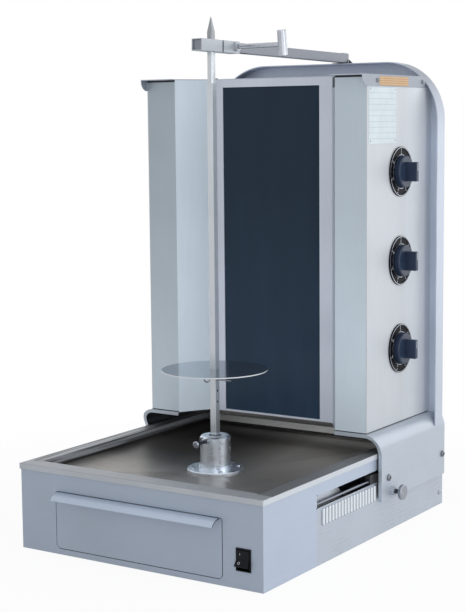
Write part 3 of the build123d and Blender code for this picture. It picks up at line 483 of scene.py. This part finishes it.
DRESS = {
    front_steel: "front_shell",
    drawer_steel: "drawer_front",
    side_steel: "side_cover_right side_cover_left rear_panel",
    shield_steel: "slot_shields",
    column_steel: "column_shell_right column_shell_left",
    frame_steel: "glass_frame",
    panel_steel: "control_panel side_panel_left",
    cover_steel: "back_cover",
    cap_steel: "top_cap",
    carriage_steel: "carriage_side_right carriage_side_left",
    pan_steel: "drip_pan",
    inner_steel: "base_plate motor_bracket drawer_runners rod_brackets drawer_tray heater_tray",
    underside_shade_steel: "carriage_beam tower_floor",
    black_paint: "arm_bracket",
    spit_steel: "spit drive_shaft",
    disc_steel: "kebab_disc",
    arm_steel: "arm_bar",
    head_steel: "arm_head",
    bright_chrome: "hub hub_flange",
    dull_chrome: "clamp_knob_right clamp_knob_left",
    rod_chrome: "guide_rods",
    screw_zinc: "flange_screws base_screws hub_grub_screw hub_thumb_screw disc_clip"
                " arm_cap_nut tee_handle",
    shaded_zinc: "carriage_bolts cap_screws",
    black_knob: "knob_1 knob_2 knob_3",
    black_switch: "switch_housing rocker",
    gland_plastic: "cable_gland",
    block_plastic: "slide_blocks",
    white_plastic: "terminal_block",
    white_board: "insulation_boards",
    quartz: "heating_elements",
    motor_paint: "gear_motor",
    regulator_body: "regulators",
    dark_glass: "heater_glass",
    dial_black: "dial_rings",
    label_white: "rating_plate",
    label_amber: "caution_strip",
}
for look, names in DRESS.items():
    for name in names.split():
        for slot in nodes[name].material_slots:
            slot.material = look.material


# ---- shapes of the detail pieces, in millimetres ----

STAND, SINK = 0.04, -0.3                # how far flat inlays stand proud and reach in
MARK_H = 0.05


def piece(name, mesh, look, body):
    """An object from a bmesh, riding on its body."""
    data = bpy.data.meshes.new(name)
    mesh.to_mesh(data)
    mesh.free()
    data.materials.append(look.material)
    made = bpy.data.objects.new(name, data)
    bpy.context.scene.collection.objects.link(made)
    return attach(made, body)


def facing(centre, direction, up=(0, 0, 1)):
    """A frame at centre whose Z looks along direction and whose Y is as near to up as can be."""
    z = Vector(direction).normalized()
    y = Vector(up)
    if abs(z.dot(y)) > 0.99:
        y = Vector((0, 1, 0))
    x = y.cross(z).normalized()
    y = z.cross(x)
    turn = Matrix((x, y, z)).transposed().to_4x4()
    return Matrix.Translation(centre) @ turn


def circle(radius, sides):
    angles = [2 * math.pi * i / sides for i in range(sides)]
    return [(radius * math.cos(a), radius * math.sin(a)) for a in angles]


def rectangle(left, right, low, high):
    return [(left, low), (right, low), (right, high), (left, high)]


def cross(half, arm):
    """Outline of a cross-shaped recess."""
    return [(-arm, -half), (arm, -half), (arm, -arm), (half, -arm), (half, arm), (arm, arm),
            (arm, half), (-arm, half), (-arm, arm), (-half, arm), (-half, -arm), (-arm, -arm)]


def level_ring(mesh, outline, level, place):
    """An outline's corners in millimetres, at a level along the frame's Z."""
    return [mesh.verts.new(place @ at(x, y, level)) for x, y in outline]


def prism(mesh, outline, low, high, place):
    """A solid from a flat outline in millimetres, from low to high along the frame's Z."""
    foot, top = (level_ring(mesh, outline, level, place) for level in (low, high))
    mesh.faces.new(top)
    mesh.faces.new(list(reversed(foot)))
    for i in range(len(outline)):
        j = (i + 1) % len(outline)
        mesh.faces.new((foot[i], foot[j], top[j], top[i]))


def turned(mesh, profile, place, sides=48):
    """A closed turned body from (radius, level) points that start and end on the axis."""
    rings = [level_ring(mesh, circle(radius, sides) if radius else [(0, 0)], level, place)
             for radius, level in profile]
    for low, high in zip(rings, rings[1:]):
        for i in range(sides):
            j = (i + 1) % sides
            corners = (low[i % len(low)], low[j % len(low)],
                       high[j % len(high)], high[i % len(high)])
            mesh.faces.new(list(dict.fromkeys(corners)))
    for face in mesh.faces:
        face.smooth = True


def band(mesh, inner, outer, low, high, place, sides=64):
    """A flat closed ring in millimetres."""
    profile = ((inner, low), (outer, low), (outer, high), (inner, high))
    rings = [level_ring(mesh, circle(radius, sides), level, place) for radius, level in profile]
    for one, two in zip(rings, rings[1:] + rings[:1]):
        for i in range(sides):
            j = (i + 1) % sides
            mesh.faces.new((one[i], one[j], two[j], two[i]))


def write_mark(mesh, text, size, place):
    """A plain number or letter as a flat mesh, centred on the frame's origin."""
    curve = bpy.data.curves.new("mark", "FONT")
    curve.body = text
    curve.size = size
    curve.align_x = "CENTER"
    curve.align_y = "CENTER"
    curve.resolution_u = 4
    curve.extrude = MARK_H
    holder = bpy.data.objects.new("mark", curve)
    bpy.context.scene.collection.objects.link(holder)
    bpy.context.view_layer.update()
    flat = bpy.data.meshes.new_from_object(
        holder.evaluated_get(bpy.context.evaluated_depsgraph_get()))
    corners = [mesh.verts.new(place @ (v.co * MM)) for v in flat.vertices]
    for face in flat.polygons:
        mesh.faces.new([corners[i] for i in face.vertices])
    bpy.data.objects.remove(holder)
    bpy.data.curves.remove(curve)
    bpy.data.meshes.remove(flat)


# ---- detail pieces, in millimetres ----

SIDES, RIGHT = (-1, 1), (1, 0, 0)

SCREW_HEAD_H, BOLT_HEAD_H, RECESS_DEPTH = 2.2, 4.0, 0.5
CROSS, HEXAGON = cross(2.2, 0.5), circle(2.6, 6)

base_heads = [((s * (SIDE + SCREW_HEAD_H), REAR - BASE_SCREW_IN, BASE_SCREW_Z), (s, 0, 0))
              for s in SIDES]
roof_heads = [((s * x, y, CAP_TOP + SCREW_HEAD_H), (0, 0, 1))
              for s in SIDES for x, y in ROOF_SCREWS]
lip_heads = [((s * (CAP_X + SCREW_HEAD_H), y, CAP_TOP - CAP_LIP / 2), (s, 0, 0))
             for s in SIDES for y in LIP_SCREWS_Y]
bolt_heads = [((s * (CARRIAGE_X + BOLT_HEAD_H), y, BOLT_Z), (s, 0, 0))
              for y in BOLTS_Y for s in SIDES]
flange_heads = [((x, HUB_Y + y, FLANGE_TOP + SCREW_HEAD_H), (0, 0, 1))
                for x in (-FLANGE_SCREW, FLANGE_SCREW) for y in (-FLANGE_SCREW, FLANGE_SCREW)]


def recesses(name, heads, outline, body):
    """Driver recesses in a group of screw heads, as inlays in painted shade."""
    mesh = bmesh.new()
    for centre, direction in heads:
        prism(mesh, outline, -RECESS_DEPTH, STAND, facing(at(*centre), direction))
    piece(name, mesh, recess_shade, body)


recesses("base_screw_recesses", base_heads, CROSS, "base")
recesses("cap_screw_recesses", roof_heads + lip_heads, CROSS, "tower")
recesses("carriage_bolt_sockets", bolt_heads, HEXAGON, "tower")
recesses("flange_screw_recesses", flange_heads, CROSS, "base")

MARKS, MARK_ANGLE = 7, math.radians(50)
STROKE = rectangle(-0.7, 0.7, 38.4, 41.4)
NUMBER_R, NUMBER_SIZE = 34.4, 7.2
OUTER_RIM, INNER_RIM, INNER_RIM_H = (43.0, 44.6), (29.9, 31.2), 0.35
POINTER = [(-0.7, 2), (0.7, 2), (0.7, 15), (0.35, 15.6), (-0.35, 15.6), (-0.7, 15)]

for name, z in KNOBS.items():
    dial, rim, fin = (facing(at(x, KNOB_Y, z), RIGHT) for x in (DIAL_FACE, DIAL_RIM, FIN_FACE))
    mesh = bmesh.new()
    for step in range(MARKS):
        angle = MARK_ANGLE * step
        prism(mesh, STROKE, -0.1, STAND, dial @ Matrix.Rotation(-angle, 4, "Z"))
        y, up = KNOB_Y + NUMBER_R * math.sin(angle), z + NUMBER_R * math.cos(angle)
        write_mark(mesh, str(step), NUMBER_SIZE, facing(at(DIAL_FACE, y, up), RIGHT))
    piece(f"dial_marks_{name}", mesh, ink_white, "tower")

    mesh = bmesh.new()
    band(mesh, *OUTER_RIM, SINK, STAND, rim)
    band(mesh, *INNER_RIM, SINK, INNER_RIM_H, dial)
    piece(f"dial_rims_{name}", mesh, dull_chrome, "tower")

    mesh = bmesh.new()
    prism(mesh, POINTER, SINK, STAND, fin)
    piece(f"knob_pointer_{name}", mesh, ink_white, f"knob_{name}")


def thread(name, body, start, end, radius, pitch, finish):
    """Ridges of a screw thread round a rod from start to end."""
    axis = at(*end) - at(*start)
    turns = int(axis.length / MM / pitch)
    root, crest = radius + 0.03, radius + 0.28 * pitch
    profile = [(0, 0)]
    for i in range(turns):
        profile += [(root, i * pitch), (crest, (i + 0.5) * pitch)]
    profile += [(root, turns * pitch), (0, turns * pitch)]
    mesh = bmesh.new()
    turned(mesh, profile, facing(at(*start), axis))
    piece(name, mesh, thread_steel, body)


M8, M5 = (4.0, 1.25), (2.5, 0.8)        # radius and pitch
for side, s in (("right", 1), ("left", -1)):
    start, end = ((s * x, CLAMP_Y, CLAMP_Z) for x in CLAMP_THREAD_X)
    thread(f"clamp_thread_{side}", f"clamp_{side}", start, end, *M8, "bright_chrome")
start, end = ((0, y, THUMB_Z) for y in THUMB_THREAD_Y)
thread("thumb_screw_thread", "thumb_screw", start, end, *M5, "screw_zinc")

RIVET = [(0, -0.2), (1.7, -0.2), (1.6, 0.35), (1.1, 0.7), (0, 0.85)]
mesh = bmesh.new()
for y in RIVETS_Y:
    for z in RIVETS_Z:
        turned(mesh, RIVET, facing(at(PLATE_FACE, y, z), RIGHT), 24)
piece("rating_plate_rivets", mesh, screw_zinc, "tower")

# Painted shadow lines in the tower's gaps: along its foot, under the cap's visors, and at the top
# of one wing.
FOOT_SHADOW, SIDE_SHADOW = (187, 188.8), (187, 188.6)
VISOR_SHADOW, WING_SHADOW = (817.8, 821.4), (801, 820)
mesh = bmesh.new()
front_face = facing(at(0, TOWER_FRONT, 0), (0, -1, 0))
for s in SIDES:
    for levels in (FOOT_SHADOW, VISOR_SHADOW):
        strip = rectangle(*sorted((s * WING_X, s * TOWER_X)), *levels)
        prism(mesh, strip, SINK, STAND, front_face)
wing_face = facing(at(WING_X, TOWER_FRONT, 0), WING_LOOK)
prism(mesh, rectangle(-WING_W, 0, *WING_SHADOW), SINK, STAND, wing_face)
side_face = facing(at(TOWER_X, 0, 0), RIGHT)
prism(mesh, rectangle(TOWER_FRONT, TOWER_REAR, *SIDE_SHADOW), SINK, STAND, side_face)
piece("tower_shadow_lines", mesh, recess_shade, "tower")

# The rocker's two faces meet in a shallow V, and the paddle rests with its lower end out.
PADDLE_AT, REST_TILT = (213, -325, 49), math.radians(-15)
PADDLE = Matrix.Translation(at(*PADDLE_AT)) @ Matrix.Rotation(REST_TILT, 4, "X")
MARK_X, MARK_Y, MARK_Z, LETTER_SIZE = -5, -10.9, 7.2, 6.0
FACE_LOOK_Y, FACE_LOOK_Z = -13.4, -4.5
mesh = bmesh.new()
for mark, up in (("I", 1), ("O", -1)):
    spot = PADDLE @ at(MARK_X, MARK_Y, up * MARK_Z)
    normal = PADDLE.to_3x3() @ Vector((0, FACE_LOOK_Y, up * FACE_LOOK_Z))
    write_mark(mesh, mark, LETTER_SIZE, facing(spot, normal))
piece("rocker_marks", mesh, ink_white, "switch_paddle")


# ---- light, floor and camera, in metres ----

SKY, SKY_STRENGTH = (0.96, 0.98, 1.0, 1.0), 0.55
FLOOR_R, FLOOR_Z = 14, -0.0004
FADE_START, FADE_END, FADE_FROM, FADE_TO = 0.55, 1.1, 0.93, 1.0
LAMP_AIM = Vector((0.0, 0.0, 0.4))
LAMPS = {                               # place, width, height and radiance
    "rear_light": ((1.31, 2.01, 0.8), 2.6, 2.0, 0.8),
    "side_light": ((2.39, -0.21, 0.9), 1.2, 1.9, 1.75),
    "front_light": ((1.54, -1.84, 0.8), 1.6, 1.8, 0.7),
    "top_light": ((0.3, -0.4, 2.9), 2.2, 2.0, 0.95),
}
AZIMUTH, PITCH, ROLL = math.radians(33.16), math.radians(7.05), math.radians(-0.53)
CAMERA_AT, FOCAL_LENGTH, SENSOR = (1.4497, -2.2484, 0.7394), 86.78, 36

scene = bpy.context.scene
scene.view_settings.view_transform = "Standard"

# The world lights softly, and shows as plain white to the camera and in metal and glass.
world = bpy.data.worlds.new("studio")
scene.world = world
world.use_nodes = True
sky = Nodes(world.node_tree)
soft = sky.glow("ShaderNodeBackground", SKY, SKY_STRENGTH)
white = sky.glow("ShaderNodeBackground", WHITE, 1.0)
shown = sky.blend(sky.seen_ray(), soft, white)
sky.link(shown, sky.add("ShaderNodeOutputWorld").inputs["Surface"])


def floor_look():
    """Pale floor that keeps the shadow near the object and fades to the white background."""
    s = Surface("floor_pale", specular=0.1)
    speckle = s.tuned(s.noise((60, 60, 60)))
    s.drive("Base Color", s.mix(speckle, (0.86, 0.86, 0.86, 1), (0.84, 0.84, 0.84, 1)))
    s.shader.inputs["Roughness"].default_value = 0.9
    far = s.add("ShaderNodeVectorMath", operation="LENGTH")
    s.link(s.place, far.inputs[0])
    share = s.ramp(far.outputs["Value"], FADE_START, FADE_END, FADE_FROM, FADE_TO)
    light = s.glow("ShaderNodeEmission", WHITE, 1.0)
    shown = s.blend(s.product(share, s.seen_ray()), s.shader, light)
    s.link(shown, s.out.inputs["Surface"])
    return s


mesh = bmesh.new()
mesh.faces.new([mesh.verts.new((x, y, FLOOR_Z)) for x, y in circle(FLOOR_R, 64)])
data = bpy.data.meshes.new("floor")
mesh.to_mesh(data)
mesh.free()
data.materials.append(floor_look().material)
floor = bpy.data.objects.new("floor", data)
scene.collection.objects.link(floor)

for name, (spot, width, height, radiance) in LAMPS.items():
    lamp = bpy.data.lights.new(name, "AREA")
    lamp.shape = "RECTANGLE"
    lamp.size, lamp.size_y = width, height
    lamp.energy = radiance * math.pi * width * height
    made = bpy.data.objects.new(name, lamp)
    made.location = spot
    made.rotation_mode = "QUATERNION"
    made.rotation_quaternion = (LAMP_AIM - Vector(spot)).to_track_quat("-Z", "Y")
    made.visible_camera = False
    scene.collection.objects.link(made)

ahead = Vector((-math.sin(AZIMUTH) * math.cos(PITCH), math.cos(AZIMUTH) * math.cos(PITCH),
                -math.sin(PITCH)))
right = Vector((math.cos(AZIMUTH), math.sin(AZIMUTH), 0))
upward = right.cross(ahead)
x_axis = right * math.cos(ROLL) + upward * math.sin(ROLL)
y_axis = upward * math.cos(ROLL) - right * math.sin(ROLL)
lens = bpy.data.cameras.new("camera")
lens.sensor_fit = "AUTO"
lens.sensor_width = SENSOR
lens.lens = FOCAL_LENGTH
camera = bpy.data.objects.new("camera", lens)
pose = Matrix((x_axis, y_axis, -ahead)).transposed().to_4x4()
pose.translation = CAMERA_AT
camera.matrix_world = pose
scene.collection.objects.link(camera)
scene.camera = camera
